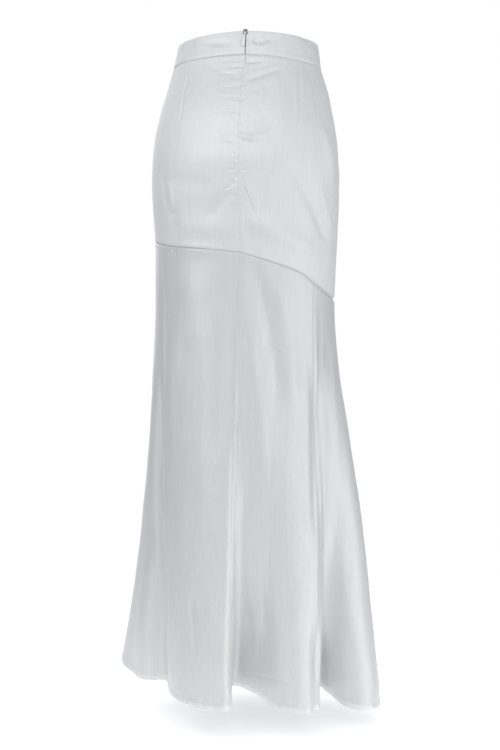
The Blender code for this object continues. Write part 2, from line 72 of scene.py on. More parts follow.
FOLDS = [
    # name                turn      x      y       z     grow  deep
    ("back seam",          0.0,  -2.66, -16.3, -104.2,  1.7,  2.0),
    ("flank one",          2.5,  -2.90, -13.4, -103.8,  2.0,  2.8),
    ("flank one deep",     4.5,  -3.00, -10.4, -103.2,  2.2,  3.3),
    ("trough one",         8.0,  -2.20,  -8.2, -102.9,  2.2,  3.4),
    ("slope one",         13.0,   0.10,  -9.4, -103.3,  2.0,  3.2),
    ("slope one high",    21.0,   2.45, -12.5, -103.9,  1.8,  2.6),
    ("lobe two start",    28.0,   4.35, -15.4, -104.5,  1.7,  2.1),
    ("lobe two",          35.0,   6.50, -16.8, -104.8,  1.6,  2.0),
    ("lobe two end",      44.0,   8.80, -16.8, -104.9,  1.6,  2.0),
    ("right seam",        52.5,  10.70, -15.6, -104.9,  1.7,  2.1),
    ("flank two",         55.5,  11.05, -12.6, -104.7,  1.4,  2.6),
    ("flank two deep",    58.5,  11.10,  -8.6, -104.4,  1.1,  3.0),
    ("trough two",        62.0,  11.80,  -4.9, -104.2,  1.05, 3.0),
    ("slope two",         67.5,  13.40,  -6.2, -104.9,  1.1,  2.8),
    ("slope two high",    74.0,  15.50,  -8.6, -106.0,  1.2,  2.4),
    ("lobe three",        82.0,  18.20,  -9.6, -106.5,  1.2,  2.1),
    ("right corner",      90.0,  20.70,  -7.9, -106.6,  1.2,  2.0),
    ("right side",        97.0,  21.50,  -4.4, -106.5,  1.2,  2.0),
    ("right front",      107.0,  21.20,   2.2, -106.2,  1.3,  2.0),
    ("front lobe one",   116.0,  18.70,   8.6, -105.9,  1.4,  2.0),
    ("front turn one",   125.0,  14.90,  10.9, -105.5,  1.5,  2.2),
    ("front trough one", 133.0,  11.40,  10.2, -105.1,  1.6,  2.6),
    ("front rise two",   140.0,   9.10,  12.9, -105.2,  1.5,  2.2),
    ("front lobe two",   149.0,   6.40,  16.3, -105.4,  1.4,  1.8),
    ("front top two",    160.0,   2.90,  17.2, -105.2,  1.4,  1.8),
    ("front turn two",   170.0,   0.20,  14.7, -104.8,  1.5,  2.1),
    ("front trough two", 178.0,  -1.70,  11.7, -104.4,  1.7,  2.6),
    ("front rise three", 187.0,  -4.40,  13.1, -104.3,  1.5,  2.2),
    ("front lobe three", 197.0,  -7.70,  15.9, -104.2,  1.4,  1.8),
    ("front top three",  208.0, -11.30,  15.7, -103.7,  1.4,  1.9),
    ("front turn three", 217.0, -13.60,  12.6, -103.2,  1.5,  2.2),
    ("front trough three", 225.0, -15.20, 10.4, -102.6, 1.6,  2.5),
    ("left front",       236.0, -18.20,  11.0, -102.2,  1.5,  2.0),
    ("left corner",      248.0, -20.90,   9.1, -101.9,  1.4,  1.8),
    ("left side",        260.0, -21.70,   5.6, -101.9,  1.4,  1.8),
    ("left side back",   272.0, -20.50,   1.4, -102.4,  1.4,  1.8),
    ("lobe four",        281.0, -18.60,  -1.4, -102.8,  1.5,  1.8),
    ("lobe four end",    291.0, -16.00,  -3.6, -103.1,  1.3,  1.6),
    ("trough four",      300.0, -13.40,  -4.9, -102.9,  1.1,  1.4),
    ("left seam",        307.0, -12.75,  -7.2, -103.1,  1.7,  1.6),
    ("lobe one start",   314.0, -12.00, -10.6, -103.7,  1.9,  1.8),
    ("lobe one rise",    326.0, -10.00, -13.6, -104.1,  1.6,  1.9),
    ("lobe one",         338.0,  -7.40, -15.6, -104.4,  1.5,  1.9),
    ("lobe one top",     350.0,  -4.90, -16.8, -104.5,  1.5,  1.9),
    ("lobe one end",     356.5,  -3.40, -17.0, -104.4,  1.6,  1.9),
]
BAND_TOP = [("centre back", 0.0, 2.10), ("right side", 90.0, 1.80), ("centre front", 180.0, 1.50),
            ("left side", 270.0, 1.50), ("centre back", 360.0, 2.10)]
BAND_SEAM = [("centre back", 0.0, -1.85), ("right side", 90.0, -2.45), ("centre front", 180.0, -2.50),
             ("left side", 270.0, -2.25), ("centre back", 360.0, -1.85)]
YOKE_SEAM = [
    ("centre back", 0.0, -33.75), ("right back", 27.0, -35.75), ("right back low", 43.0, -37.10),
    ("right quarter", 55.0, -38.50), ("right side", 83.0, -40.20), ("right front", 125.0, -40.30),
    ("centre front", 180.0, -37.60), ("left front", 235.0, -33.20), ("left side", 273.0, -31.00),
    ("left back", 300.0, -31.90), ("left back mid", 330.0, -32.90), ("centre back", 360.0, -33.75),
]
RIGHT_SEAM_TURN, LEFT_SEAM_TURN, SIDE_TURNS = 52.0, 308.0, (90.0, 270.0)
ZIP_GAP = 1.6 * MM


def open_spline(xs, ys):
    """Natural cubic through the points; returns a function of an array."""
    xs, ys = np.asarray(xs, float), np.asarray(ys, float)
    n = len(xs)
    h = np.diff(xs)
    mat, rhs = np.eye(n), np.zeros(n)
    for i in range(1, n - 1):
        mat[i, i - 1:i + 2] = h[i - 1], 2 * (h[i - 1] + h[i]), h[i]
        rhs[i] = 6 * ((ys[i + 1] - ys[i]) / h[i] - (ys[i] - ys[i - 1]) / h[i - 1])
    bend = np.linalg.solve(mat, rhs)

    def value(x):
        x = np.clip(np.asarray(x, float), xs[0], xs[-1])
        i = np.clip(np.searchsorted(xs, x) - 1, 0, n - 2)
        d, a, b = h[i], xs[i + 1] - x, x - xs[i]
        return (bend[i] * a ** 3 / (6 * d) + bend[i + 1] * b ** 3 / (6 * d)
                + (ys[i] / d - bend[i] * d / 6) * a + (ys[i + 1] / d - bend[i + 1] * d / 6) * b)
    return value


def loop_spline(ts, ys):
    """Periodic cubic with period 1 through the points."""
    ts, ys = np.asarray(ts, float), np.asarray(ys, float)
    n = len(ts)
    h = np.diff(np.append(ts, ts[0] + 1.0))
    mat, rhs = np.zeros((n, n)), np.zeros(n)
    for i in range(n):
        p, q = (i - 1) % n, (i + 1) % n
        mat[i, p] += h[p]
        mat[i, i] += 2 * (h[p] + h[i])
        mat[i, q] += h[i]
        rhs[i] = 6 * ((ys[q] - ys[i]) / h[i] - (ys[i] - ys[p]) / h[p])
    bend = np.linalg.solve(mat, rhs)

    def value(t):
        t = np.mod(np.asarray(t, float), 1.0)
        i = np.clip(np.searchsorted(ts, t, side="right") - 1, 0, n - 1)
        q = (i + 1) % n
        d, b = h[i], t - ts[i]
        a = d - b
        return (bend[i] * a ** 3 / (6 * d) + bend[q] * b ** 3 / (6 * d)
                + (ys[i] / d - bend[i] * d / 6) * a + (ys[q] / d - bend[q] * d / 6) * b)
    return value


out_z = [-row[1] * CM for row in OUTLINE]
outline = {key: open_spline(out_z, [row[k] * CM for row in OUTLINE])
           for k, key in ((2, "left"), (3, "right"), (4, "back"), (5, "front"), (6, "seam"))}
hem_steps = [hypot(FOLDS[(i + 1) % len(FOLDS)][2] - row[2], FOLDS[(i + 1) % len(FOLDS)][3] - row[3]) * CM
             for i, row in enumerate(FOLDS)]
HEM_MM = sum(hem_steps) * 1000
fold_t = np.concatenate(([0.0], np.cumsum(hem_steps)[:-1])) / sum(hem_steps)
turn_extra = loop_spline(fold_t, [row[1] - 360 * t for row, t in zip(FOLDS, fold_t)])
hem_x = loop_spline(fold_t, [row[2] * CM for row in FOLDS])
hem_y = loop_spline(fold_t, [row[3] * CM for row in FOLDS])
hem_z = loop_spline(fold_t, [row[4] * CM for row in FOLDS])
grow = loop_spline(fold_t, [row[5] for row in FOLDS])
deep = loop_spline(fold_t, [row[6] for row in FOLDS])
band_top_at, band_seam_at, yoke_seam_at = (
    open_spline([row[1] for row in table], [row[2] * CM for row in table])
    for table in (BAND_TOP, BAND_SEAM, YOKE_SEAM))


def turn(t):
    """Degrees round the yoke at t."""
    t = np.asarray(t, float)
    return 360 * t + turn_extra(t)


def t_of_turn(degrees_round):
    low, high = 0.0, 1.0
    for _ in range(50):
        mid = (low + high) / 2
        if turn(mid) < degrees_round:
            low = mid
        else:
            high = mid
    return (low + high) / 2


def band_top(t):
    return band_top_at(np.mod(turn(t), 360))


def band_seam(t):
    return band_seam_at(np.mod(turn(t), 360))


def yoke_seam(t):
    return yoke_seam_at(np.mod(turn(t), 360))


def section(turn_deg, z):
    """Point of the smooth tube: half ellipses for the back and the front."""
    left, right, back, front, seam = (outline[k](-z) for k in ("left", "right", "back", "front", "seam"))
    half, mid = (left + right) / 2, (right - left) / 2
    swing = np.radians(turn_deg) + np.arcsin((seam - mid) / half)
    depth = np.where(np.cos(swing) > 0, back, front)
    return mid + half * np.sin(swing), -depth * np.cos(swing)


def surface(t, z):
    """Outer face of the cloth at t and z, as an array (..., 3)."""
    t, z = np.broadcast_arrays(np.asarray(t, float), np.asarray(z, float))
    deg = turn(t)
    x, y = section(deg, z)
    top, bottom = yoke_seam(t), hem_z(t)
    down = np.clip((top - z) / (top - bottom), 0, 1.05)
    share = (np.hypot(down, FOLD_START) - FOLD_START) / (hypot(1, FOLD_START) - FOLD_START)
    sx, sy = section(deg, bottom)
    return np.stack((x + share ** grow(t) * (hem_x(t) - sx),
                     y + share ** deep(t) * (hem_y(t) - sy), z), axis=-1)


def normal(t, z):
    """Outward unit normal of the surface."""
    e, d = 2e-4, 4e-4
    n = np.cross(surface(t + e, z) - surface(t - e, z), surface(t, z + d) - surface(t, z - d))
    return n / np.linalg.norm(n, axis=-1, keepdims=True)


def stride(t, z):
    """Metres along the surface for one unit of t."""
    e = 1e-4
    return np.linalg.norm(surface(t + e, z) - surface(t - e, z), axis=-1) / (2 * e)


T_RIGHT, T_SIDE_R, T_SIDE_L, T_LEFT = (t_of_turn(d) for d in (RIGHT_SEAM_TURN, *SIDE_TURNS, LEFT_SEAM_TURN))

# ============================================================ the view
# The photograph is 500 x 750; its camera looks level along +Y.
CAMERA_AT = (0.0034, -1.88, -0.531)
FOCAL_PX = 1121.0
PX_MM = 1.6                 # size of a pixel on the back of the cloth


def in_photo(p):
    """Where a point of the row frame lies in the photograph."""
    d = p[..., 1] - CAMERA_AT[1]
    return (250 + (p[..., 0] - CAMERA_AT[0]) * FOCAL_PX / d,
            375 - (p[..., 2] - CAMERA_AT[2]) * FOCAL_PX / d)


# ============================================================ creases
# Troughs (depth below 0) and ridges (above 0). width is the
# half width at which a crease has faded to a third. Those of the back are
# placed where the photograph shows them.
BACK_CREASES = [
    # name, width mm, depth mm, points in the photograph
    # --- darts of the yoke
    ("dart left",            1.3,  -1.50, [(187.5, 60), (187.5, 75), (184, 92), (182.5, 105), (180, 118), (178, 130)]),
    ("dart left lip",        2.2,   0.27, [(190, 62), (190, 75), (187, 92), (185.5, 105), (183, 118), (181, 130)]),
    ("dart right",           1.3,  -1.20, [(299, 62), (300, 95), (299.5, 118), (298, 138)]),
    ("dart right lip",       2.4,   0.27, [(296, 62), (297, 95), (296.5, 118), (295, 138)]),
    ("dart right tick",      1.8,  -0.42, [(299, 96), (304.5, 104)]),
    # --- about the zip
    ("below band right",     4.1,  -0.99, [(245, 81), (262, 75), (286, 67)]),
    ("below band left",      4.1,  -0.52, [(243, 78), (228, 74), (206, 66)]),
    ("fan right one",        3.1,  -0.28, [(247, 69), (259, 67.5), (273, 64)]),
    ("fan right two",        3.9,  -0.28, [(247, 92), (262, 88), (279, 83)]),
    ("fan left one",         2.9,  -0.07, [(242, 67), (227, 64), (213, 62)]),
    ("fan left two",         3.6,  -0.07, [(240, 94), (226, 91), (209, 86)]),
    ("mid shadow right",    11.0,  -1.90, [(238, 127), (258, 125.5), (284, 119)]),
    ("mid light right",      4.8,   0.71, [(246, 139), (258, 136), (272, 133)]),
    ("dimple",               4.2,   1.17, [(235, 134.3), (246, 136.5), (257, 140.3)]),
    ("dimple under",         2.6,  -0.80, [(241, 140.5), (246, 141.2), (251, 142.6)]),
    ("pucker left one",      2.3,  -0.50, [(217, 134), (233, 137)]),
    ("pucker left two",      2.3,  -0.50, [(219, 141), (234, 144)]),
    ("dash left",            1.4,  -0.58, [(227, 169.7), (236, 169.7)]),
    ("dash right",           1.4,  -0.58, [(239, 170.3), (248, 170.3)]),
    ("below the zip slit",   1.1,  -1.40, [(246.2, 51), (246.0, 57), (245.6, 64)]),
    ("under band right",     2.6,  -1.00, [(244, 62.6), (253, 61.8), (264, 61.2)]),
    # --- drags of the band
    ("band vee one",         3.2,  -0.80, [(250, 35), (255, 40.5), (259, 46)]),
    ("band vee two",         3.4,  -0.80, [(272, 35.5), (265, 40), (259, 46)]),
    ("band drag left",       5.4,  -1.80, [(180, 57), (186, 49), (197, 42)]),
    ("band drag right",      4.8,  -1.40, [(297, 34), (308, 40), (315, 50)]),
    # --- the crossed wrinkles under the zip's end
    ("cross up",             1.5,  -0.90, [(229, 184), (236, 177.5), (242, 172)]),
    ("cross down",           1.5,  -0.87, [(234, 173), (238, 180)]),
    ("vee right",            1.2,  -1.46, [(237, 179), (245, 190), (251.7, 206.7), (255.8, 218), (258.3, 226)]),
    ("vee right side",       6.0,   0.63, [(243, 181), (252, 196), (258, 212), (262, 226)]),
    ("vee left",             1.7,  -1.14, [(236.5, 180.5), (229, 187), (224, 190)]),
    ("vee left long",        9.0,  -1.20, [(233, 186), (222, 202), (206, 222)]),
    ("vee dash",             1.4,  -0.48, [(230, 195), (236, 195.4)]),
    ("seat fold left",      20.0,   2.08, [(160, 225), (204, 229), (244, 226)]),
    ("seat fold right",     17.0,   5.20, [(236, 216), (262, 225), (298, 243), (328, 264)]),
    ("thread one",           1.1,  -0.66, [(220, 230), (220.3, 249)]),
    ("thread two",           1.1,  -0.56, [(223.3, 236), (223.4, 249)]),
    ("thread three",         1.1,  -0.66, [(226.7, 231), (227, 250)]),
    ("thread four",          1.1,  -0.53, [(229.3, 236), (229.6, 250)]),
    # --- the fullest part of the hips and the drags beside it
    ("hip shelf",           19.0,   1.00, [(140, 150), (190, 157), (238, 158), (285, 159), (350, 150)]),
    ("under the hip left",  13.0,  -0.91, [(150, 172), (190, 183), (226, 184)]),
    ("under the hip right", 12.0,  -0.78, [(250, 186), (290, 181), (325, 168)]),
    ("left hip trough",      5.0,  -1.78, [(163, 172), (164.5, 190), (167, 210)]),
    ("left hip ridge",       4.6,   1.26, [(168.5, 180), (170.5, 198), (172, 216)]),
    ("left hip low trough",  7.7,  -1.07, [(172, 203), (174, 220), (177, 236)]),
    ("left hip edge",        3.2,  -0.54, [(160.5, 160), (159.5, 176)]),
    ("right hip wedge",     12.5,  -3.90, [(290, 160), (302, 180), (314, 206), (325, 236)]),
    ("right hip streak",     6.9,  -3.15, [(313, 202), (320, 222), (326, 244)]),
    ("right hip light",      6.5,   2.46, [(322, 120), (330, 155), (335, 194)]),
    ("right hip light low",  4.0,   1.41, [(322, 190), (328, 212), (333, 236)]),
    ("right tick one",       1.8,  -0.48, [(330, 196.5), (339, 194.5)]),
    ("right tick two",       1.8,  -0.48, [(331, 223), (339, 221.6)]),
    # --- just under the yoke seam
    ("under seam one",       1.7,  -0.84, [(158, 246), (166, 255)]),
    ("under seam two",       1.7,  -0.70, [(164.5, 246.5), (172, 256)]),
    ("under seam three",     1.7,  -0.64, [(171, 248), (177.5, 256)]),
    ("under seam fold",     12.0,   2.00, [(172, 247), (202, 249), (228, 251)]),
    # --- lower back, above the folds
    ("right of seam trough", 5.9,  -0.72, [(236, 286), (240, 310), (243, 340), (246, 372), (248, 410), (251, 457),
                                          (253, 500), (254, 600)]),
    ("seat blob",            3.4,  -0.80, [(237, 342), (248, 338)]),
    ("long ridge",          15.0,   4.48, [(239, 250), (242, 275), (245, 300), (251, 340), (257, 380), (261, 430),
                                          (263, 480), (264, 530)]),
    ("slant trough",        11.0,  -3.93, [(254, 258), (257, 275), (263, 300), (271, 340), (277, 380), (281, 425)]),
    ("slant ridge",         11.0,   3.01, [(268, 262), (274, 280), (281, 300), (289, 340), (293, 380), (294, 420)]),
    ("slant crease",         2.4,   0.32, [(261, 334), (277, 347), (297, 358.5)]),
    ("slant crease under",   2.8,  -0.35, [(262, 338), (277, 351), (296, 362.5)]),
    ("right seam ridge",     5.5,   0.80, [(311, 286), (314, 315), (316, 348), (318, 382), (319, 416)]),
    ("right side band",      5.0,  -1.18, [(326, 340), (328, 375)]),
    ("right side arc",       1.8,  -0.48, [(333.5, 380), (337, 376.6), (340.5, 379)]),
    ("left lower light",    22.0,   2.00, [(190, 262), (195, 290), (201, 325), (205, 365)]),
    ("left lower dark",     13.0,  -2.20, [(222, 300), (224, 360), (222, 420), (220, 470)]),
    ("left lower ridge",    14.0,   1.50, [(204, 335), (205, 385), (204, 440), (205, 505), (208, 570)]),
    ("right lower ridge",   22.0,   2.20, [(270, 420), (272, 480), (274, 540), (276, 600)]),
    # --- folds of the flare
    ("left contour",         2.3,  -3.50, [(158.5, 346), (161, 382), (161.7, 423), (161.2, 500), (165, 560), (168, 620),
                                          (169.3, 676)]),
    ("left contour lip",     3.6,   1.40, [(155, 380), (156, 430), (155.5, 500), (158.5, 560), (161, 620)]),
    ("right contour",        3.0,  -2.60, [(318.5, 430), (321.3, 511), (320.6, 613), (317.6, 684)]),
    ("right contour light",  3.0,   0.90, [(321.5, 452), (324.0, 511), (323.4, 613)]),
    ("right contour shade",  8.0,  -4.00, [(312, 345), (315, 400), (316, 470), (315, 560)]),
    ("left edge fold",      20.0,  12.00, [(154, 520), (151, 600), (149, 655), (149, 740)]),
    ("lobe one crest",       4.5,  -1.20, [(236, 395), (232, 495), (230, 620), (229, 708)]),
    ("lobe one edge",        2.6,  -2.34, [(233.5, 590), (233, 650), (232.5, 704)]),
    ("trough two foot",      9.5,  -7.15, [(317.5, 606), (318, 668), (320, 790)]),
    ("second left crease",   2.0,  -1.56, [(172.6, 625), (173.5, 660), (174.2, 692)]),
    ("lobe one streak",      4.5,  -2.21, [(190, 590), (192.5, 620), (195.5, 660)]),
    ("lobe one light",      14.0,   2.30, [(214, 600), (218, 650), (221, 696)]),
    ("lobe one tick",        2.6,  -0.72, [(209, 594), (219, 606)]),
    ("slope streak",         4.8,  -1.08, [(245, 596), (249, 622), (253.5, 652)]),
    ("slope streak two",     5.4,  -0.86, [(262, 575), (264, 610), (268, 650)]),
    ("along the hem",        1.8,  -0.91, [(232, 672), (259, 676), (296, 684.5)]),
    ("lobe two corner",      2.0,  -1.56, [(312.5, 690), (317.5, 707)]),
    ("lobe three crown",    15.0,   4.88, [(331, 345), (338, 400), (346, 450), (353, 500), (359, 550), (364, 610)]),
    ("left lobe crown",     12.0,   4.50, [(159, 350), (156, 400), (152, 450), (148, 500), (144, 560)]),
    ("lobe three light",    14.0,  1.50, [(331, 420), (338, 500), (345, 580), (352, 660)]),
]

BACK_PATCHES = [
    # name, px x, px y, half width mm, half height mm, height mm
    ("mid light",        218.0, 464.0,  9.0, 12.0,  1.20),
    ("mid dark",         214.0, 486.0,  8.0, 11.0, -1.20),
    ("trough foot",      238.5, 659.0,  7.0, 20.0, -1.50),
    ("band smudge",      261.0,  40.0, 20.0,  5.5, -1.70),
    ("band smudge left", 218.0,  43.0, 20.0,  5.5, -1.30),
]

# Those of the sides and the front: turn in degrees round the yoke, z in cm.
OTHER_CREASES = [
    # name, width mm, depth mm, points (turn, z)
    ("right hip drag one",    8.0,  -1.00, [(84, -15.0), (92, -18.5), (102, -20.5)]),
    ("right hip drag two",    7.0,  -0.80, [(88, -20.5), (98, -23.5), (110, -25.0)]),
    ("right side hip light",  9.0,   0.80, [(86, -18.0), (96, -21.0), (106, -22.8)]),
    ("right thigh drag",      5.0, -0.8, [(96, -30.0), (108, -33.0), (122, -34.0)]),
    ("left hip drag one",     8.5,  -1.00, [(276, -14.0), (266, -17.5), (256, -19.0)]),
    ("left hip drag two",     7.0,  -0.75, [(272, -20.0), (261, -22.5), (250, -23.5)]),
    ("left hip light",        6.9,  0.82, [(274, -17.0), (263, -20.0), (252, -21.4)]),
    ("left thigh drag",       4.6, -0.7, [(262, -26.0), (250, -28.5), (238, -29.0)]),
    ("front lap one",         4.6, -0.8, [(150, -23.0), (166, -25.5), (182, -25.8), (198, -24.6)]),
    ("front lap two",         3.6, -0.6, [(160, -27.5), (176, -29.2), (190, -28.6)]),
    ("front lap light",       5.0,  0.5, [(154, -25.6), (172, -27.6), (192, -27.2)]),
    ("front waist left",      3.4, -0.5, [(212, -4.0), (216, -8.0), (222, -12.0)]),
    ("front waist right",     3.4, -0.5, [(150, -4.2), (146, -8.5), (139, -12.5)]),
    ("front thigh right",     6.0, -1.1, [(128, -44.0), (133, -52.0), (134, -62.0), (132, -74.0)]),
    ("front thigh middle",    7.0, -1.2, [(172, -46.0), (176, -56.0), (178, -68.0), (178, -80.0)]),
    ("front thigh left",      6.0, -1.0, [(230, -42.0), (227, -52.0), (225, -64.0), (224, -76.0)]),
    ("front knee ridge one",  6.0,  0.9, [(150, -48.0), (152, -58.0), (151, -70.0)]),
    ("front knee ridge two",  6.0,  0.8, [(204, -45.0), (203, -57.0), (205, -68.0)]),
    ("front knee slant",      2.6, -0.6, [(142, -50.0), (150, -52.5), (160, -53.6)]),
    ("front knee slant two",  2.6, -0.5, [(214, -48.0), (206, -50.5), (197, -51.4)]),
    ("left side crease",      6.0, -1.0, [(262, -60.0), (264, -72.0), (263, -86.0)]),
    ("right side crease",     6.0,  -1.20, [(101, -62.0), (99, -75.0), (100, -90.0)]),
    ("front hem crease one",  2.4, -0.8, [(121, -92.0), (124, -99.0), (126, -104.0)]),
    ("front hem crease two",  2.4, -0.8, [(190, -90.0), (189, -97.0), (187, -103.0)]),
    ("front hem crease three", 2.4, -0.8, [(214, -88.0), (216, -95.0), (217, -101.0)]),
]

# Puckers: fine uneven ripples that run out from a seam.
PUCKERS = [
    # seam,          from z, to z,  spacing mm, reach mm, depth mm, seed   (cm)
    ("centre back",   -2.0,  -8.5,   3.4,   26.0,  0.33, 11),
    ("centre back",   -8.0, -21.0,   4.2,   16.0,  0.44, 12),
    ("centre back",  -21.0, -33.0,   5.0,   11.0,  0.34, 19),
    ("centre back",  -42.0, -47.5,   2.8,    8.0,  0.30, 13),
    ("centre back",  -50.0, -100.0,  7.0,   10.0,  0.22, 14),
    ("right flare",  -40.0, -104.0,  7.0,   10.0,  0.26, 15),
    ("left flare",   -33.0, -102.0,  7.0,   10.0,  0.26, 16),
    ("right side",    -3.0, -39.0,   7.0,   10.0,  0.20, 17),
    ("left side",     -3.0, -30.0,   7.0,   10.0,  0.20, 18),
]
SEAM_T = {"centre back": 0.0, "right flare": T_RIGHT, "left flare": T_LEFT, "right side": T_SIDE_R,
          "left side": T_SIDE_L}

HEM_FOLD = 8.5 * MM         # narrow turned hem
WALL = 0.8 * MM             # satin, as modelled
BAND_WALL = 2.3 * MM
SEAM_ROLL = 1.0 * MM        # how far a sewn edge curls in


def smooth_curve(points, step=1.5):
    """Points of a Catmull-Rom curve about step apart."""
    p = np.array(points, float)
    if len(p) == 2:
        p = np.array([p[0], (p[0] + p[1]) / 2, p[1]])
    p = np.concatenate(([2 * p[0] - p[1]], p, [2 * p[-1] - p[-2]]))
    out = []
    for a, b, c, d in zip(p, p[1:], p[2:], p[3:]):
        n = max(2, int(np.linalg.norm(c - b) / step))
        s = np.linspace(0, 1, n, endpoint=False)[:, None]
        out.append(0.5 * (2 * b + (c - a) * s + (2 * a - 5 * b + 4 * c - d) * s ** 2
                          + (3 * b - a - 3 * c + d) * s ** 3))
    return np.concatenate(out + [p[-2:-1]])


def along_line(u, v, line, reach):
    """For points (u, v) within reach of the line: (mask, distance, share along it)."""
    low, high = line.min(0) - reach, line.max(0) + reach
    mask = (u > low[0]) & (u < high[0]) & (v > low[1]) & (v < high[1])
    pts = np.stack((u[mask], v[mask]), -1)
    best, where = np.full(len(pts), 1e9), np.zeros(len(pts))
    seg = np.diff(line, axis=0)
    size = np.maximum(np.linalg.norm(seg, axis=1), 1e-9)
    at = np.concatenate(([0], np.cumsum(size)))
    for i in range(len(seg)):
        rel = pts - line[i]
        k = np.clip(rel @ seg[i] / size[i] ** 2, 0, 1)
        dist = np.hypot(*(rel - k[:, None] * seg[i]).T)
        near = dist < best
        best[near], where[near] = dist[near], (at[i] + k * size[i])[near] / at[-1]
    return mask, best, where


def lattice(seed, n=97):
    return np.random.default_rng(seed).uniform(-1, 1, (n, n))


LATTICES = {}


def ripple(u, v, seed):
    """Smooth noise from -1 to 1 over a lattice of unit cells."""
    if seed not in LATTICES:
        LATTICES[seed] = lattice(seed)
    table = LATTICES[seed]
    n = len(table)
    iu, iv = np.floor(u).astype(int), np.floor(v).astype(int)
    fu, fv = u - iu, v - iv
    fu, fv = fu * fu * fu * (fu * (6 * fu - 15) + 10), fv * fv * fv * (fv * (6 * fv - 15) + 10)
    a, b = table[iu % n, iv % n], table[(iu + 1) % n, iv % n]
    c, d = table[iu % n, (iv + 1) % n], table[(iu + 1) % n, (iv + 1) % n]
    return (a * (1 - fu) + b * fu) * (1 - fv) + (c * (1 - fu) + d * fu) * fv


def step_up(x, low, high):
    s = np.clip((x - low) / (high - low), 0, 1)
    return s * s * (3 - 2 * s)


def crease(height, u, v, name, width, depth, points, mask_by):
    """Adds one trough or ridge; it fades at its ends and is uneven along its length."""
    line = smooth_curve(points)
    mask, dist, where = along_line(u, v, line, 3.2 * width)
    if not mask.any():
        return
    long = float(np.linalg.norm(np.diff(line, axis=0), axis=1).sum())
    fade = min(max(2.2 * width, 0.3 * long), 0.5 * long)
    ends = step_up(np.minimum(where, 1 - where) * long, 0.0, fade)
    seed = sum(ord(c) for c in name) % 89
    uneven = 1 + 0.25 * ripple(where * 4 + seed, where * 0 + seed * 0.37, 5)
    height[mask] += depth * ends * uneven * np.exp(-(dist / width) ** 2) * mask_by[mask]


def girth(z):
    """Metres round the tube at a height, for placing by turn."""
    ts = np.linspace(0, 1, 400, endpoint=False)
    p = surface(ts, np.full(400, z))
    return float(np.linalg.norm(p - np.roll(p, -1, axis=0), axis=1).sum())


GIRTH_Z = np.linspace(0.02, -1.04, 24)
GIRTH = np.array([girth(z) for z in GIRTH_Z])


def relief(t, z, p, n):
    """Height of the cloth off its plain form, in mm, at each point of a grid."""
    h = np.zeros(t.shape)
    to_eye = np.array(CAMERA_AT) - p
    facing = (n * to_eye).sum(-1) / np.linalg.norm(to_eye, axis=-1)
    seen = step_up(facing, 0.02, 0.30)
    plain = step_up(facing, 0.08, 0.36)         # the narrow lines end sooner toward the sides
    if seen.max() > 0:
        px, py = in_photo(p)
        u, v = px * PX_MM, py * PX_MM
        for name, width, depth, points in BACK_CREASES:
            crease(h, u, v, name, width, depth, [(x * PX_MM, y * PX_MM) for x, y in points],
                   plain if width < 4 else seen)
        for name, x, y, wide, tall, high in BACK_PATCHES:
            r2 = ((px - x) * PX_MM / wide) ** 2 + ((py - y) * PX_MM / tall) ** 2
            h += high * np.exp(-r2) * seen
    # the sides and the front, by arc
    round_mm = np.interp(-z, -GIRTH_Z, GIRTH) * 1000
    u, v = t * round_mm, z * 1000
    away = 1 - seen
    for name, width, depth, points in OTHER_CREASES:
        line = []
        for deg, zz in points:
            tt = t_of_turn(deg)
            line.append((tt * np.interp(-zz * CM, -GIRTH_Z, GIRTH) * 1000, zz * 10))
        crease(h, u, v, name, width, depth, line, away)
    # slow unevenness of the cloth, longer than it is wide
    free = step_up(yoke_seam(t) - z, 0.0, 0.30)
    wrap = np.mod(t, 1.0)
    near_back = np.minimum(wrap, 1 - wrap)
    calm = 0.35 + 0.65 * step_up(near_back, 0.0, 0.02)
    h += (0.28 + 0.75 * free) * calm * ripple(t * 38, z / 0.085, 21)
    h += (0.15 + 0.16 * free) * calm * ripple(t * 90 + 7, z / 0.045 + 3, 22)
    h += (0.09 + 0.04 * free) * ripple(t * 210 + 3, z / 0.032 + 5, 23)
    h += 0.10 * (1 - free) * ripple(t * 60 + 11, z / 0.016 + 9, 24)
    # puckers along the upright seams
    for seam, z0, z1, spacing, reach, depth, seed in PUCKERS:
        ts = SEAM_T[seam]
        dt = np.mod(t - ts + 0.5, 1.0) - 0.5
        zone = step_up(z, z1 * CM, z1 * CM + 0.012) * (1 - step_up(z, z0 * CM - 0.008, z0 * CM))
        if not (zone > 0).any():
            continue
        d = dt * stride(ts, z) * 1000
        side = np.where(d > 0, 37.0, 0.0)
        spread = reach * (0.75 + 0.5 * ripple(z * 1000 / (spacing * 3), side, seed + 50))
        fade = np.exp(-np.abs(d / np.maximum(spread, 1)) ** 1.6) * (1 - 0.8 * np.exp(-(d / 1.2) ** 2))
        h += depth * zone * fade * ripple(z * 1000 / spacing, side + d / 16, seed)
    # along the yoke seam and the band seam
    for line, spacing, depth, seed in ((yoke_seam(t), 6.0, 0.14, 31), (band_seam(t), 5.0, 0.12, 32)):
        d = (z - line) * 1000
        h += depth * np.exp(-(np.abs(d) / 7.0) ** 1.6) * ripple(t * round_mm / spacing, np.where(d > 0, 37.0, 0.0) + d / 20, seed)
    # turned hem: a little proud, ribbed by its stitching
    up = (z - hem_z(t)) * 1000
    band = 1 - step_up(up, 7.6, 9.6)
    h += 0.35 * band - 0.70 * np.exp(-((up - 8.2) / 1.1) ** 2)
    h += 0.90 * (1 - step_up(up, 0.5, 7.6))
    pull = np.exp(-(np.abs(up - 6.5) / 8.0) ** 2)
    h += 0.70 * pull * ripple(t * HEM_MM / 5.2 + up * 0.08, up / 9, 41)
    h += 0.30 * pull * ripple(t * HEM_MM / 2.8, up / 6, 42)
    return h


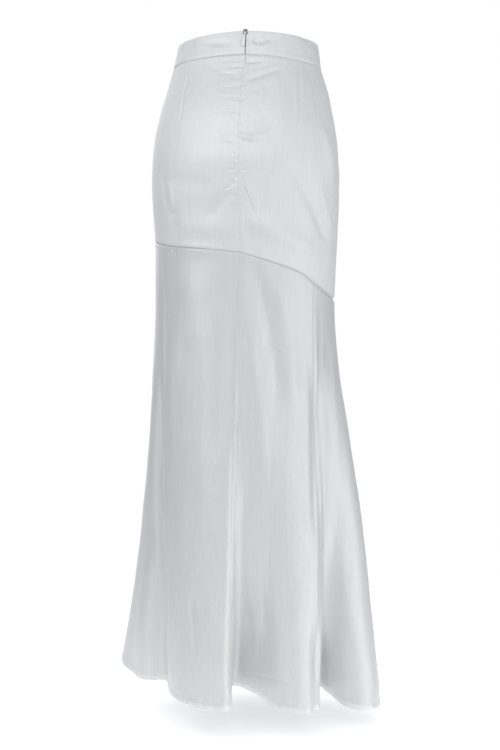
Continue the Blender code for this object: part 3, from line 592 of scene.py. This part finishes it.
def seam_dip(t, z):
    """How far the cloth goes in at its seams, in mm, over a few mm on each side."""
    round_mm = np.interp(-z, -GIRTH_Z, GIRTH) * 1000
    slope_t = 1e-3
    out = np.zeros(t.shape)
    # slanting and level seams
    ysl = (yoke_seam(t + slope_t) - yoke_seam(t - slope_t)) / (2 * slope_t) / (round_mm / 1000)
    d = (z - yoke_seam(t)) * 1000 / np.hypot(1, ysl)
    deg = np.mod(turn(t), 360)
    heavy = step_up(deg, 40, 54) * (1 - step_up(deg, 90, 108))       # the seam sinks at the right hip
    left = step_up(deg, 262, 285) * (1 - step_up(deg, 325, 345))
    edge = step_up(deg, 52, 66) * (1 - step_up(deg, 94, 112))
    out += (1.70 + 0.6 * left + 2.3 * heavy + 1.6 * edge) * np.exp(-(np.abs(d) / (1.15 + 1.7 * heavy)) ** 1.5)
    out -= 0.08 * np.exp(-((np.abs(d) - 4.5) / 2.2) ** 2)
    d = (z - band_seam(t)) * 1000
    ends = step_up(np.abs(np.mod(deg + 180, 360) - 180), 30, 85)
    out += (0.95 + 1.6 * ends) * np.exp(-(np.abs(d) / 1.7) ** 1.5)
    out -= 0.08 * np.exp(-((np.abs(d) - 4.5) / 2.2) ** 2)
    # upright seams
    for seam, ts in SEAM_T.items():
        dt = np.mod(t - ts + 0.5, 1.0) - 0.5
        d = dt * stride(ts, z) * 1000
        if seam == "centre back":
            on = (z < band_seam(t)) * 1.0
            depth, wide = 0.10 + 0.04 * step_up(z, -0.40, -0.30), 1.5
        elif seam.endswith("flare"):
            on = step_up(yoke_seam(t) - z, -0.0005, 0.0005)
            depth, wide = 0.35, 1.6
        else:
            on = step_up(z - yoke_seam(t), -0.0005, 0.0005)
            depth, wide = 0.30, 1.6
        out += depth * on * np.exp(-(np.abs(d) / wide) ** 1.5)
        out -= 0.25 * depth * on * np.exp(-((np.abs(d) - 4.2) / 2.0) ** 2)
    return out


def hem_line(t):
    """The hem's edge, a little uneven."""
    return hem_z(t) + (0.45 * ripple(t * HEM_MM / 6.5, 0 * t, 61) + 0.30 * ripple(t * HEM_MM / 2.6, 0 * t, 62)) * MM


# ============================================================ materials
def new_material(name):
    mat = bpy.data.materials.new(name)
    mat.use_nodes = True
    nodes = mat.node_tree.nodes
    return mat, nodes, mat.node_tree.links, nodes["Principled BSDF"]


def add(nodes, kind, **values):
    node = nodes.new(kind)
    for key, value in values.items():
        if key in node.inputs:
            node.inputs[key].default_value = value
        else:
            setattr(node, key, value)
    return node


def stretched_noise(nodes, links, coord, scale, detail=2.0, rough=0.5):
    place = add(nodes, "ShaderNodeMapping")
    place.inputs["Scale"].default_value = scale
    links.new(coord, place.inputs["Vector"])
    noise = add(nodes, "ShaderNodeTexNoise", Scale=1.0, Detail=detail, Roughness=rough)
    links.new(place.outputs["Vector"], noise.inputs["Vector"])
    return noise.outputs["Fac"]


def ramp(nodes, links, fac, low, high, out_low, out_high):
    node = add(nodes, "ShaderNodeMapRange")
    for key, value in (("From Min", low), ("From Max", high), ("To Min", out_low), ("To Max", out_high)):
        node.inputs[key].default_value = value
    links.new(fac, node.inputs["Value"])
    return node.outputs["Result"]


def satin(name, colour, shade, rough=0.50, sheen=0.25, shine=0.35, stretch=0.5, across=0.0):
    """Satin: warp threads run down the cloth, with fine slubs and a soft sheen."""
    mat, nodes, links, bsdf = new_material(name)
    coord = add(nodes, "ShaderNodeTexCoord").outputs["Object"]
    streak = stretched_noise(nodes, links, coord, (620, 620, 14), 3.0, 0.6)
    slub = stretched_noise(nodes, links, coord, (260, 260, 5), 2.0, 0.5)
    cloud = stretched_noise(nodes, links, coord, (9, 9, 3), 2.0, 0.5)
    warp = stretched_noise(nodes, links, coord, (3400, 3400, 500), 1.0, 0.5)
    weft = stretched_noise(nodes, links, coord, (700, 700, 4200), 1.0, 0.5)

    mix = add(nodes, "ShaderNodeMix", data_type="RGBA")
    mix.inputs["A"].default_value = (*shade, 1)
    mix.inputs["B"].default_value = (*colour, 1)
    both = add(nodes, "ShaderNodeMath", operation="ADD")
    links.new(ramp(nodes, links, streak, 0.3, 0.7, 0.0, 0.55), both.inputs[0])
    links.new(ramp(nodes, links, slub, 0.3, 0.7, 0.0, 0.30), both.inputs[1])
    third = add(nodes, "ShaderNodeMath", operation="ADD", use_clamp=True)
    links.new(both.outputs[0], third.inputs[0])
    links.new(ramp(nodes, links, cloud, 0.3, 0.7, 0.0, 0.30), third.inputs[1])
    links.new(third.outputs[0], mix.inputs["Factor"])
    # where the cloth is turned double it looks lighter
    doubled = add(nodes, "ShaderNodeMix", data_type="RGBA")
    links.new(mix.outputs["Result"], doubled.inputs["A"])
    doubled.inputs["B"].default_value = (0.90, 0.90, 0.90, 1)
    turning = add(nodes, "ShaderNodeAttribute", attribute_name="turning").outputs["Fac"]
    links.new(ramp(nodes, links, turning, 0.0, 1.0, 0.0, 0.60), doubled.inputs["Factor"])
    links.new(doubled.outputs["Result"], bsdf.inputs["Base Color"])
    links.new(ramp(nodes, links, streak, 0.3, 0.7, rough + 0.05, rough - 0.05), bsdf.inputs["Roughness"])

    bump = add(nodes, "ShaderNodeBump", Strength=0.35)
    bump.inputs["Distance"].default_value = 0.00018
    links.new(streak, bump.inputs["Height"])
    fine = add(nodes, "ShaderNodeBump", Strength=0.25)
    fine.inputs["Distance"].default_value = 0.00005
    links.new(warp, fine.inputs["Height"])
    links.new(bump.outputs["Normal"], fine.inputs["Normal"])
    finer = add(nodes, "ShaderNodeBump", Strength=0.18)
    finer.inputs["Distance"].default_value = 0.00005
    links.new(weft, finer.inputs["Height"])
    links.new(fine.outputs["Normal"], finer.inputs["Normal"])
    links.new(finer.outputs["Normal"], bsdf.inputs["Normal"])
    bsdf.inputs["Metallic"].default_value = shine
    bsdf.inputs["Sheen Weight"].default_value = sheen
    bsdf.inputs["Sheen Roughness"].default_value = 0.45
    bsdf.inputs["Specular IOR Level"].default_value = 0.5
    bsdf.inputs["Anisotropic"].default_value = stretch
    bsdf.inputs["Anisotropic Rotation"].default_value = across
    return mat


def metal(name, colour, rough, metallic, coat=0.0):
    mat, nodes, links, bsdf = new_material(name)
    coord = add(nodes, "ShaderNodeTexCoord").outputs["Object"]
    grain = stretched_noise(nodes, links, coord, (2400, 2400, 2400), 3.0, 0.6)
    wear = stretched_noise(nodes, links, coord, (420, 420, 420), 2.0, 0.5)
    mix = add(nodes, "ShaderNodeMix", data_type="RGBA")
    mix.inputs["A"].default_value = (*[c * 0.86 for c in colour], 1)
    mix.inputs["B"].default_value = (*colour, 1)
    links.new(ramp(nodes, links, wear, 0.35, 0.65, 0, 1), mix.inputs["Factor"])
    links.new(mix.outputs["Result"], bsdf.inputs["Base Color"])
    links.new(ramp(nodes, links, wear, 0.3, 0.7, rough + 0.06, rough - 0.05), bsdf.inputs["Roughness"])
    bump = add(nodes, "ShaderNodeBump", Strength=0.2)
    bump.inputs["Distance"].default_value = 0.00004
    links.new(grain, bump.inputs["Height"])
    links.new(bump.outputs["Normal"], bsdf.inputs["Normal"])
    bsdf.inputs["Metallic"].default_value = metallic
    bsdf.inputs["Coat Weight"].default_value = coat
    return mat


BAND_SATIN = satin("band_satin", (0.815, 0.815, 0.818), (0.758, 0.759, 0.765), rough=0.55, shine=0.28, stretch=0.5)
YOKE_SATIN = satin("yoke_satin", (0.815, 0.815, 0.818), (0.758, 0.759, 0.765), rough=0.55, shine=0.28, stretch=0.5)
# The flare is cut from the same satin as the yoke. Its darker colours are painted shade, standing in for the dimmer
# light on the lower skirt.
FLARE_SATIN = satin("flare_satin", (0.742, 0.744, 0.752), (0.684, 0.687, 0.699), stretch=0.5, across=0.25)


# ============================================================ cloth panels
FINE = 1


def spaced(length_mm, step_mm, times, ends=(True, True)):
    """Shares 0..1 along a length, closer together at the sewn ends, a multiple of times of them."""
    close = np.array([0.0, 0.25, 0.6, 1.0, 1.6, 2.4])
    a = close if ends[0] else np.array([0.0])
    b = close if ends[1] else np.array([0.0])
    n = max(2, round((length_mm - a[-1] - b[-1]) / step_mm))
    total = len(a) - 1 + n + len(b) - 1
    n += (-total) % times
    middle = np.linspace(a[-1], length_mm - b[-1], n + 1)
    return np.concatenate((a[:-1], middle, length_mm - b[:-1][::-1])) / length_mm


def curl(edge_mm, roll_mm):
    """How far a turned edge goes in, by the distance from it: a quarter round."""
    inside = np.clip(1 - edge_mm / roll_mm, 0, 1)
    return roll_mm * (1 - np.sqrt(np.clip(1 - inside ** 2, 0, 1)))


def edge_distances(p):
    """Distance in mm of every grid point from the four borders, along the grid."""
    down = np.linalg.norm(np.diff(p, axis=1), axis=-1) * 1000
    from_top = np.concatenate((np.zeros((p.shape[0], 1)), np.cumsum(down, axis=1)), axis=1)
    across = np.linalg.norm(np.diff(p, axis=0), axis=-1) * 1000
    from_first = np.concatenate((np.zeros((1, p.shape[1])), np.cumsum(across, axis=0)), axis=0)
    return from_top, from_top[:, -1:] - from_top, from_first, from_first[-1:] - from_first


def min_filter(a, r):
    out = a.copy()
    for axis in (0, 1):
        src = out.copy()
        for k in range(1, r + 1):
            for s in (k, -k):
                moved = np.roll(src, s, axis=axis)
                keep = [slice(None)] * 2
                keep[axis] = slice(0, s) if s > 0 else slice(s, None)
                moved[tuple(keep)] = src[tuple(keep)]
                out = np.minimum(out, moved)
    return out


def panel(name, t0, t1, top, bottom, sizes, mat, wall, rolls, gaps, coarse=3, hem=False):
    """A shell of cloth between two lines.

    sizes is (width mm, step across mm, length mm, step down mm) at its widest,
    rolls the curl in mm at (top, bottom, first, last) edge,
    gaps the distance in mm that the first and last column keep from their seam."""
    width, step_u, length, step_v = sizes
    us = spaced(width, step_u * FINE, coarse)
    vs = spaced(length, step_v * FINE, coarse)
    t = t0 + (t1 - t0) * us[:, None] + 0 * vs[None, :]
    a, b = top(t), bottom(t)
    z = a + (b - a) * vs[None, :]
    # the first and last columns keep off their seam, and the ones by them follow
    for gap, seam_t, sign in ((gaps[0], t0, 1), (gaps[1], t1, -1)):
        far = np.abs(t - seam_t) * stride(seam_t, z)
        t = t + sign * gap * MM / stride(seam_t, z) * np.exp(-(far / 0.004) ** 2)
    p = surface(t, z)
    # normals from the grid
    du = np.gradient(p, axis=0)
    dv = np.gradient(p, axis=1)
    n = np.cross(du, -dv)
    n /= np.maximum(np.linalg.norm(n, axis=-1, keepdims=True), 1e-12)
    h = relief(t, z, p, n) - seam_dip(t, z)
    borders = edge_distances(p)
    for e, r in zip(borders, rolls):
        if r > 0:
            h = h - curl(e, r)
    outer = p + n * (h * MM)[..., None]
    low = min_filter(h, coarse + 1)
    thick = wall / MM + (0.7 * (1 - step_up(borders[1], 7.0, 9.0)) if hem else 0)
    inner = (p - n * ((thick - low) * MM)[..., None])[::coarse, ::coarse]

    nu, nv = t.shape
    mu, mv = inner.shape[:2]
    out_id = np.arange(nu * nv).reshape(nu, nv)
    in_id = nu * nv + np.arange(mu * mv).reshape(mu, mv)
    faces = np.stack((out_id[:-1, :-1], out_id[:-1, 1:], out_id[1:, 1:], out_id[1:, :-1]), -1).reshape(-1, 4).tolist()
    faces += np.stack((in_id[:-1, :-1], in_id[1:, :-1], in_id[1:, 1:], in_id[:-1, 1:]), -1).reshape(-1, 4).tolist()
    for i in range(mu - 1):
        run = list(range(i * coarse, (i + 1) * coarse + 1))
        faces.append([int(out_id[k, 0]) for k in run] + [int(in_id[i + 1, 0]), int(in_id[i, 0])])
        faces.append([int(out_id[k, -1]) for k in run[::-1]] + [int(in_id[i, -1]), int(in_id[i + 1, -1])])
    for j in range(mv - 1):
        run = list(range(j * coarse, (j + 1) * coarse + 1))
        faces.append([int(out_id[0, k]) for k in run[::-1]] + [int(in_id[0, j]), int(in_id[0, j + 1])])
        faces.append([int(out_id[-1, k]) for k in run] + [int(in_id[-1, j + 1]), int(in_id[-1, j])])
    mesh = bpy.data.meshes.new(name)
    mesh.from_pydata(np.concatenate((outer.reshape(-1, 3), inner.reshape(-1, 3))).tolist(), [], faces)
    mesh.update()
    mesh.shade_smooth()
    mesh.set_sharp_from_angle(angle=radians(60))
    if hem:
        turned = 1 - step_up(borders[1] + 0.9 * ripple(t * HEM_MM / 3.1, 0 * t, 63), 6.8, 8.2)
        mesh.attributes.new("turning", "FLOAT", "POINT").data.foreach_set(
            "value", np.concatenate((turned.ravel(), turned[::coarse, ::coarse].ravel())).astype(np.float32))
    # one texture space for all panels, so the satin's shine turns about the same axis
    mesh.use_auto_texspace = False
    mesh.texspace_location, mesh.texspace_size = (0, 0, -0.52), (0.25, 0.25, 0.60)
    mesh.materials.append(mat)
    obj = bpy.data.objects.new(name, mesh)
    bpy.context.scene.collection.objects.link(obj)
    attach(obj, "skirt")
    return obj


NEAR = 0.04                 # mm from a seam
BAND_ROLL = 1.1
for name, node, t0, t1, width, step, gaps in (
        ("band_back_right", "waistband_back_right", 0.0, T_SIDE_R, 184, 1.3, (ZIP_GAP / 2 / MM, NEAR)),
        ("band_front", "waistband_front", T_SIDE_R, T_SIDE_L, 340, 2.2, (NEAR, NEAR)),
        ("band_back_left", "waistband_back_left", T_SIDE_L, 1.0, 170, 1.3, (NEAR, ZIP_GAP / 2 / MM))):
    obj = panel(name, t0, t1, band_top, band_seam, (width, step, 40, step), BAND_SATIN, BAND_WALL,
                (BAND_ROLL, 0.6, 0.9 if t0 == 0 else 0.5, 0.9 if t1 == 1 else 0.5), gaps)
    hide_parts(node)
for name, node, t0, t1, width, length, step, down in (
        ("yoke_panel_back_right", "yoke_back_right", 0.0, T_SIDE_R, 232, 350, 1.35, 1.0),
        ("yoke_panel_front", "yoke_front", T_SIDE_R, T_SIDE_L, 440, 350, 2.3, 2.3),
        ("yoke_panel_back_left", "yoke_back_left", T_SIDE_L, 1.0, 232, 310, 1.35, 1.0)):
    obj = panel(name, t0, t1, band_seam, yoke_seam, (width, step, length, down), YOKE_SATIN, WALL,
                (0.7, 0.6, 0.15 if t0 == 0 else 0.35, 0.15 if t1 == 1 else 0.35), (NEAR, NEAR))
    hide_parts(node)
for name, node, t0, t1, width, length, step, down, coarse in (
        ("lower_panel_back_right", "lower_back_right", 0.0, T_RIGHT, 300, 700, 1.55, 1.75, 3),
        ("lower_panel_front", "lower_front", T_RIGHT, T_LEFT, 1180, 690, 3.7, 3.6, 2),
        ("lower_panel_back_left", "lower_back_left", T_LEFT, 1.0, 250, 700, 1.5, 1.75, 3)):
    obj = panel(name, t0, t1, yoke_seam, hem_line, (width, step, length, down), FLARE_SATIN, WALL,
                (0.6, 0.6, 0.5 if t0 else 0.15, 0.5 if t1 < 1 else 0.15), (NEAR, NEAR), coarse, hem=True)
    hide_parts(node)

# ============================================================ zip
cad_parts["zip_tape"].data.materials.clear()
tape_mat, tn, tl, tb = new_material("tape_cloth")
tape_coord = add(tn, "ShaderNodeTexCoord").outputs["Object"]
rib = stretched_noise(tn, tl, tape_coord, (2600, 2600, 700), 1.0, 0.5)
tape_mix = add(tn, "ShaderNodeMix", data_type="RGBA")
tape_mix.inputs["A"].default_value = (0.62, 0.62, 0.65, 1)
tape_mix.inputs["B"].default_value = (0.74, 0.74, 0.77, 1)
tl.new(rib, tape_mix.inputs["Factor"])
tl.new(tape_mix.outputs["Result"], tb.inputs["Base Color"])
tb.inputs["Roughness"].default_value = 0.75
tape_bump = add(tn, "ShaderNodeBump", Strength=0.5)
tape_bump.inputs["Distance"].default_value = 0.0002
tl.new(rib, tape_bump.inputs["Height"])
tl.new(tape_bump.outputs["Normal"], tb.inputs["Normal"])
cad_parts["zip_tape"].data.materials.append(tape_mat)

SLIDER_METAL = metal("slider_metal", (0.20, 0.20, 0.215), 0.38, 0.75)
PULL_METAL = metal("pull_metal", (0.62, 0.62, 0.64), 0.26, 0.55, coat=0.4)
for node, mat, bevel in (("zip_slider", SLIDER_METAL, 0.0), ("zip_pull", PULL_METAL, 0.24 * MM)):
    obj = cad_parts[node]
    obj.data.materials.clear()
    obj.data.materials.append(mat)
    if bevel:
        weld = obj.modifiers.new("weld", "WELD")
        weld.merge_threshold = 2e-5
        edge = obj.modifiers.new("edges", "BEVEL")
        edge.width, edge.segments, edge.limit_method, edge.angle_limit = bevel, 3, "ANGLE", radians(50)



def beads(name, centres, along, outward, long_mm, wide_mm, high_mm, mat):
    """One mesh of small rounded bars, such as stitches or coil teeth, all of one size."""
    rings = ((-0.50, 0.35), (-0.36, 0.85), (0.0, 1.0), (0.36, 0.85), (0.50, 0.35))
    sides = 6
    across = np.cross(along, outward)
    across /= np.linalg.norm(across, axis=-1, keepdims=True)
    up = np.cross(across, along)
    up /= np.linalg.norm(up, axis=-1, keepdims=True)
    verts, faces = [], []
    for c, a, w, o in zip(centres, along, across, up):
        base = len(verts)
        for share, fat in rings:
            for k in range(sides):
                ang = 2 * pi * k / sides
                verts.append(tuple(c + (a * share * long_mm + w * fat * cos(ang) * wide_mm / 2
                                        + o * fat * sin(ang) * high_mm / 2) * MM))
        for r in range(len(rings) - 1):
            for k in range(sides):
                q = base + r * sides
                faces.append((q + k, q + sides + k, q + sides + (k + 1) % sides, q + (k + 1) % sides))
        faces.append(tuple(base + k for k in range(sides)))
        faces.append(tuple(base + (len(rings) - 1) * sides + k for k in reversed(range(sides))))
    mesh = bpy.data.meshes.new(name)
    mesh.from_pydata(verts, [], faces)
    mesh.update()
    mesh.shade_smooth()
    mesh.materials.append(mat)
    obj = bpy.data.objects.new(name, mesh)
    bpy.context.scene.collection.objects.link(obj)
    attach(obj, "skirt")
    return obj


def on_cloth(t, z, lift_mm):
    """Points on the creased cloth, lifted off it, and the outward normals there."""
    p, n = surface(t, z), normal(t, z)
    return p + n * ((relief(t, z, p, n) - seam_dip(t, z) + lift_mm) * MM)[..., None], n


def thread(name, colour, lay):
    """Twisted thread or monofilament: lay is the scale of its twist."""
    mat, nodes, links, bsdf = new_material(name)
    coord = add(nodes, "ShaderNodeTexCoord").outputs["Object"]
    twist = stretched_noise(nodes, links, coord, (lay, lay, lay), 2.0, 0.5)
    mix = add(nodes, "ShaderNodeMix", data_type="RGBA")
    mix.inputs["A"].default_value = (*[c * 0.88 for c in colour], 1)
    mix.inputs["B"].default_value = (*colour, 1)
    links.new(twist, mix.inputs["Factor"])
    links.new(mix.outputs["Result"], bsdf.inputs["Base Color"])
    links.new(ramp(nodes, links, twist, 0.3, 0.7, 0.55, 0.40), bsdf.inputs["Roughness"])
    bump = add(nodes, "ShaderNodeBump", Strength=0.4)
    bump.inputs["Distance"].default_value = 0.0001
    links.new(twist, bump.inputs["Height"])
    links.new(bump.outputs["Normal"], bsdf.inputs["Normal"])
    return mat


# one line of stitches round the hem, at the top of its turning
STITCH_PITCH, STITCH_LONG, STITCH_UP = 4.6, 3.1, 8.2        # mm
count = int(HEM_MM / STITCH_PITCH)
stitch_t = (np.arange(count) + 0.5) / count
half = STITCH_LONG / 2 / HEM_MM
ends = [on_cloth(stitch_t + s * half, hem_z(stitch_t + s * half) + STITCH_UP * MM, 0.10) for s in (-1, 1)]
run = ends[1][0] - ends[0][0]
beads("hem_stitches", (ends[0][0] + ends[1][0]) / 2, run / np.linalg.norm(run, axis=-1, keepdims=True),
      ends[0][1], STITCH_LONG, 0.55, 0.42, thread("hem_thread", (0.80, 0.80, 0.815), 4200))

# the zip's coil, seen in the gap of the waistband
TOOTH_PITCH, TOOTH_FROM, TOOTH_TO, TOOTH_DEEP = 1.5, 1.30, -1.75, 2.55      # mm, cm, cm, mm behind the cloth's face
tooth_z = np.arange(TOOTH_FROM * CM, TOOTH_TO * CM, -TOOTH_PITCH * MM)
tooth_t = np.zeros(len(tooth_z))
tooth_n = normal(tooth_t, tooth_z)
tooth_at = surface(tooth_t, tooth_z) - tooth_n * TOOTH_DEEP * MM
side = surface(tooth_t + 1e-4, tooth_z) - surface(tooth_t - 1e-4, tooth_z)
beads("zip_teeth", tooth_at, side / np.linalg.norm(side, axis=-1, keepdims=True), tooth_n, 3.4, 0.85, 0.60,
      thread("zip_coil", (0.70, 0.70, 0.72), 2600))

# ============================================================ stage, light, camera
scene = bpy.context.scene
FLOOR_Z = -1.098
bpy.ops.mesh.primitive_circle_add(vertices=96, radius=3.2, fill_type="NGON", location=(0, 0, FLOOR_Z))
floor = bpy.context.object
floor.name = "floor"
floor_mat, fn, fl, fb = new_material("floor_pale")
fb.inputs["Base Color"].default_value = (0.93, 0.93, 0.94, 1)
fb.inputs["Roughness"].default_value = 0.9
fb.inputs["Emission Color"].default_value = (1, 1, 1, 1)
fb.inputs["Emission Strength"].default_value = 0.49
# the pale floor fades out into the white round it
far_off = add(fn, "ShaderNodeVectorMath", operation="LENGTH")
fl.new(add(fn, "ShaderNodeTexCoord").outputs["Object"], far_off.inputs[0])
fade = ramp(fn, fl, far_off.outputs["Value"], 0.35, 1.5, 0.0, 1.0)
clear = add(fn, "ShaderNodeBsdfTransparent")
blend = add(fn, "ShaderNodeMixShader")
fl.new(fade, blend.inputs["Fac"])
fl.new(fb.outputs["BSDF"], blend.inputs[1])
fl.new(clear.outputs["BSDF"], blend.inputs[2])
fl.new(blend.outputs["Shader"], fn["Material Output"].inputs["Surface"])
floor.data.materials.append(floor_mat)

world = bpy.data.worlds.new("studio")
scene.world = world
world.use_nodes = True
wn, wl = world.node_tree.nodes, world.node_tree.links
soft = wn["Background"]
soft.inputs["Color"].default_value = (0.90, 0.94, 1.0, 1)
soft.inputs["Strength"].default_value = 0.37
white = add(wn, "ShaderNodeBackground", Strength=1.0)
white.inputs["Color"].default_value = (1, 1, 1, 1)
sky = add(wn, "ShaderNodeMixShader")
wl.new(add(wn, "ShaderNodeLightPath").outputs["Is Camera Ray"], sky.inputs["Fac"])
wl.new(soft.outputs["Background"], sky.inputs[1])
wl.new(white.outputs["Background"], sky.inputs[2])
wl.new(sky.outputs["Shader"], wn["World Output"].inputs["Surface"])


def aim(obj, at, to):
    obj.location = at
    obj.rotation_euler = (Vector(to) - Vector(at)).to_track_quat("-Z", "Y").to_euler()
    scene.collection.objects.link(obj)


def soft_box(name, turn_deg, z, watts, colour=(1, 1, 1), far=2.3, size=(1.8, 1.5), aim_z=-0.5):
    """A studio soft box, far m from the skirt; 0 degrees is behind the camera, 90 at +X."""
    data = bpy.data.lights.new(name, "AREA")
    data.shape, data.size, data.size_y = "RECTANGLE", *size
    data.energy, data.color = watts, colour
    a = radians(turn_deg)
    aim(bpy.data.objects.new(name, data), (far * sin(a), -far * cos(a), z), (0, 0, aim_z))


WARM = (1.0, 0.987, 0.957)
soft_box("key high", 12, 1.1, 12.9, WARM)
soft_box("left high", -34, 0.95, 9.7, WARM)
soft_box("right", 72, 0.1, 9.3, WARM, aim_z=-0.75)
soft_box("right low", 46, -0.95, 8.8, WARM, 2.1, (1.8, 1.2), -1.0)
soft_box("left near", -52, 0.20, 3.9, WARM, 1.3, (1.1, 1.1), -0.24)
far_data = bpy.data.lights.new("far fill", "SUN")
far_data.angle, far_data.energy = radians(70), 1.3
aim(bpy.data.objects.new("far fill", far_data), (-0.7, 2.4, 1.6), (0, 0, -0.1))

cam_data = bpy.data.cameras.new("camera")
cam_data.sensor_fit, cam_data.sensor_height = "VERTICAL", 36.0
cam_data.lens = 36.0 * FOCAL_PX / 750
camera = bpy.data.objects.new("camera", cam_data)
camera.location = CAMERA_AT
camera.rotation_euler = (pi / 2, 0, 0)
scene.collection.objects.link(camera)
scene.camera = camera
scene.view_settings.view_transform = "Standard"
